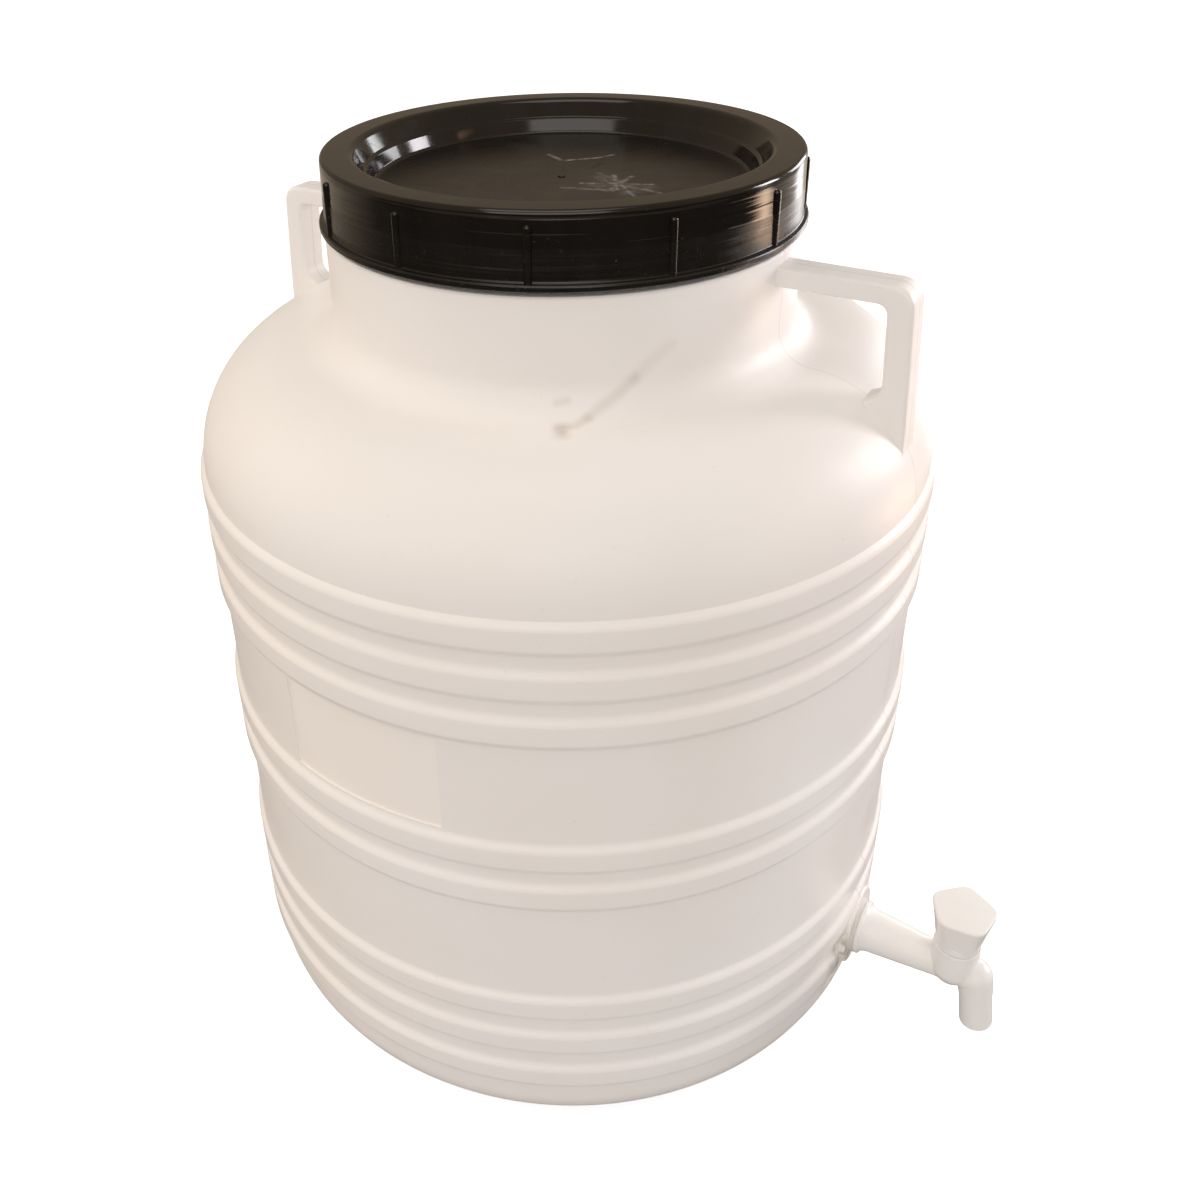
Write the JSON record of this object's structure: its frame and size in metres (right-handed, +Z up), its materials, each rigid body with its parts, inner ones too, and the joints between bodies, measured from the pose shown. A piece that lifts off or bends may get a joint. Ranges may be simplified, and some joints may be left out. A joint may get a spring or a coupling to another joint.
{
  "type": "plastic drum",
  "caption": "Upright wide-mouth plastic storage drum with moulded ribs, side handles, a black screw lid and a small tap near the base.",
  "frame": {"origin": "centre of the base's underside, on the drum's axis", "axes": "+Z up along the drum's axis, +X through one handle and the tap, the label panel faces -Y"},
  "size_m": [0.4313, 0.356, 0.4403],
  "materials": {
    "drum_plastic": "satin, slightly translucent milky white",
    "lid_plastic": "gloss",
    "tap_plastic": "satin",
    "seal_rubber": "matte",
    "pale_rubber": "matte"
  },
  "bodies": {
    "drum": {"drum_body": "drum_plastic", "tap_body": "tap_plastic", "tap_outer_gasket": "pale_rubber", "tap_inner_gasket": "pale_rubber", "tap_lock_nut": "tap_plastic"},
    "lid_seal": {"lid_gasket": "seal_rubber"},
    "lid": {"lid": "lid_plastic"},
    "tap_handle": {"tap_plug": "tap_plastic", "tap_knob": "tap_plastic"}
  },
  "joints": [
    {"name": "lid_rise", "type": "slide", "parent": "drum", "child": "lid_seal", "axis": [0, 0, 1], "range_m": [0, 0.036]},
    {"name": "lid_turn", "type": "hinge", "parent": "lid_seal", "child": "lid", "pos_m": [0, 0, 0.42], "axis": [0, 0, 1], "range_deg": [0, 1080]},
    {"name": "tap_turn", "type": "hinge", "parent": "drum", "child": "tap_handle", "pos_m": [0.229, 0, 0.0468], "axis": [0, 0, 1], "range_deg": [0, 90]}
  ],
  "couplings": [
    {"joint": "lid_rise", "follows": "lid_turn", "m_per_rad": 0.0019099}
  ]
}
